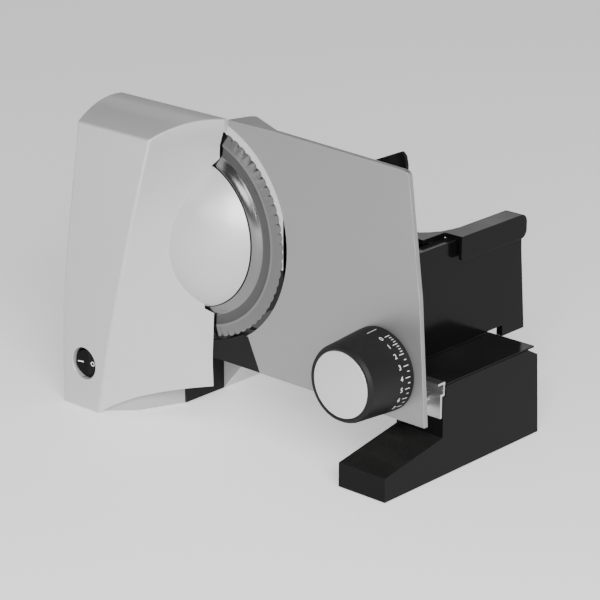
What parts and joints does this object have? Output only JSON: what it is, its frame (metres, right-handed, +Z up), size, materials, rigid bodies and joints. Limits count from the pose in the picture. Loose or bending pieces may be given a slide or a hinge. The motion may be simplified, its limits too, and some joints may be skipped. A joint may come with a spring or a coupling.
{
  "type": "electric food slicer",
  "caption": "Electric food slicer: silver motor housing with a round blade, adjustable stop plate with dial knob, black sliding carriage with a pusher on a rail and base block.",
  "frame": {"origin": "middle of the footprint's box on the table, under the feet", "axes": "+X along the stop plate, away from the motor housing; +Y from the operator's side to the food side; +Z up"},
  "size_m": [0.314, 0.2336, 0.2398],
  "materials": {
    "silver_plastic": "satin",
    "black_gloss": "gloss",
    "black_matte": "matt",
    "plate_aluminium": "satin anodised",
    "rail_aluminium": "mill",
    "blade_steel": "ground",
    "shaft_steel": "turned",
    "lamination_steel": "matt",
    "copper_wire": "lacquered",
    "bronze_bush": "sintered",
    "white_plastic": "matt",
    "grey_plastic": "matt",
    "disc_metal": "satin",
    "foot_rubber": "matt"
  },
  "bodies": {
    "root": {"housing_shell": "silver_plastic", "gear_plate": "grey_plastic", "blade_guard": "silver_plastic", "rear_case": "black_matte", "case_floor": "grey_plastic", "rear_leg": "silver_plastic", "bridge_deck": "black_matte", "base_block": "black_gloss", "guide_rail": "rail_aluminium", "corner_guard": "black_matte", "motor_stator": "lamination_steel", "stator_coils": "copper_wire", "brush_holders": "bronze_bush", "gear_bracket": "grey_plastic", "worm_bushes": "bronze_bush", "motor_foot_bush": "bronze_bush", "blade_bush_front": "bronze_bush", "blade_bush_rear": "bronze_bush", "switch_body": "black_matte", "terminal_block": "white_plastic", "cord_gland": "black_matte", "rubber_feet": "foot_rubber", "guard_screws": "shaft_steel", "rod_bushes": "bronze_bush", "spindle_nut": "black_matte"},
    "blade_disc": {"blade": "blade_steel", "blade_shaft": "shaft_steel", "worm_wheel": "white_plastic", "blade_lock": "black_matte", "blade_screws": "shaft_steel"},
    "armature": {"armature_core": "lamination_steel", "armature_shaft": "shaft_steel", "worm": "shaft_steel", "commutator": "copper_wire", "cooling_fan": "white_plastic"},
    "plate": {"stop_plate": "plate_aluminium", "guide_rods": "shaft_steel", "knob_bush": "bronze_bush"},
    "knob": {"knob_body": "black_matte", "knob_disc": "disc_metal", "knob_spindle": "shaft_steel"},
    "carriage": {"carriage_floor": "black_gloss", "carriage_wall": "black_gloss", "guide_shoe": "white_plastic", "carriage_glides": "white_plastic"},
    "pusher": {"pusher_shield": "black_gloss", "pusher_saddle": "black_gloss", "pusher_spikes": "shaft_steel"},
    "rocker": {"switch_rocker": "black_gloss"}
  },
  "joints": [
    {"name": "motor_spin", "type": "hinge", "parent": "root", "child": "armature", "pos_m": [-0.1142, -0.06837, 0.04], "axis": [0, 0, 1], "continuous": true},
    {"name": "blade_spin", "type": "hinge", "parent": "root", "child": "blade_disc", "pos_m": [-0.0678, -0.0568, 0.146], "axis": [0, 1, 0], "continuous": true},
    {"name": "knob_turn", "type": "hinge", "parent": "plate", "child": "knob", "pos_m": [0.1156, -0.0568, 0.0815], "axis": [0, -1, 0], "range_deg": [0, 300]},
    {"name": "plate_slide", "type": "slide", "parent": "root", "child": "plate", "axis": [0, -1, 0], "range_m": [0, 0.015]},
    {"name": "carriage_slide", "type": "slide", "parent": "root", "child": "carriage", "axis": [-1, 0, 0], "range_m": [0, 0.15]},
    {"name": "pusher_slide", "type": "slide", "parent": "carriage", "child": "pusher", "axis": [0, -1, 0], "range_m": [0, 0.055]},
    {"name": "rocker_tilt", "type": "hinge", "parent": "root", "child": "rocker", "pos_m": [-0.1325, -0.1083, 0.038], "axis": [0, 0, 1], "range_deg": [-16, 0]}
  ],
  "couplings": [
    {"joint": "blade_spin", "follows": "motor_spin", "ratio": -0.016667},
    {"joint": "knob_turn", "follows": "plate_slide", "rad_per_m": 349.06}
  ]
}
